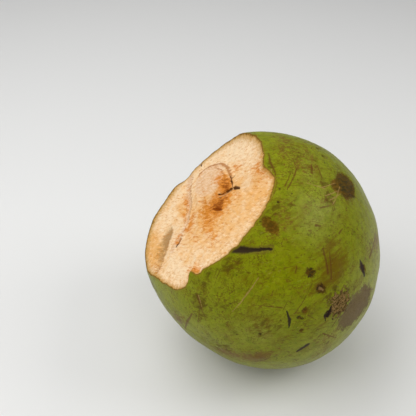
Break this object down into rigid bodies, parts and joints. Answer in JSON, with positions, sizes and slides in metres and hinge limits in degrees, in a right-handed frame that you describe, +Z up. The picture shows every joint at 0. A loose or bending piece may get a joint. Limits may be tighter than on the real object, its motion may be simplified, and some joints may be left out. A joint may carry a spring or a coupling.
{
  "type": "green coconut",
  "caption": "Green coconut with its stem end sliced off at a slant, baring pale fibrous husk. It lies tilted on a small flat spot.",
  "frame": {"origin": "middle of the small flat spot that the coconut rests on", "axes": "+Z up from the flat spot. The sliced stem end points up and towards -X, a little towards -Y, and the tail end points down towards +X."},
  "size_m": [0.1747, 0.1709, 0.1765],
  "materials": {
    "green_husk": "waxy green fruit skin with brown bruises and pale scratches, and pale orange-brown fibrous husk where it is sliced"
  },
  "bodies": {
    "root": {"coconut": "green_husk"}
  },
  "joints": []
}
